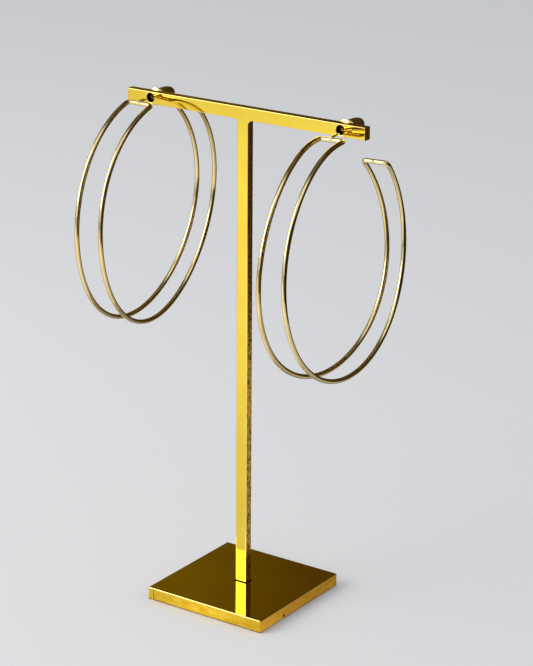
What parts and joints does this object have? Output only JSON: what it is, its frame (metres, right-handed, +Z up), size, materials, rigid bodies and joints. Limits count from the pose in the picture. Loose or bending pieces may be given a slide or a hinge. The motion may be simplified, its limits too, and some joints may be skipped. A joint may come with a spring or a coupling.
{
  "type": "pair of double hoop earrings on a t-bar earring stand",
  "caption": "Thin double hoop earrings held by ear nuts through the drilled crossbar of a slim gold T-bar stand on a square base.",
  "frame": {"origin": "centre of the base plate's underside", "axes": "+Z up along the stem; the crossbar runs along X; the stand's front, where the earrings' posts go in, faces -Y"},
  "size_m": [0.1033, 0.0926, 0.1848],
  "materials": {
    "stand_gold": "mirror-polished yellow gold plate",
    "hoop_gold": "polished pale gold plate",
    "nut_gold": "polished gold plate"
  },
  "bodies": {
    "root": {"base_plate": "stand_gold", "t_plate": "stand_gold", "left_hoop": "hoop_gold", "right_hoop": "hoop_gold", "left_ear_nut": "nut_gold", "right_ear_nut": "nut_gold"}
  },
  "joints": []
}
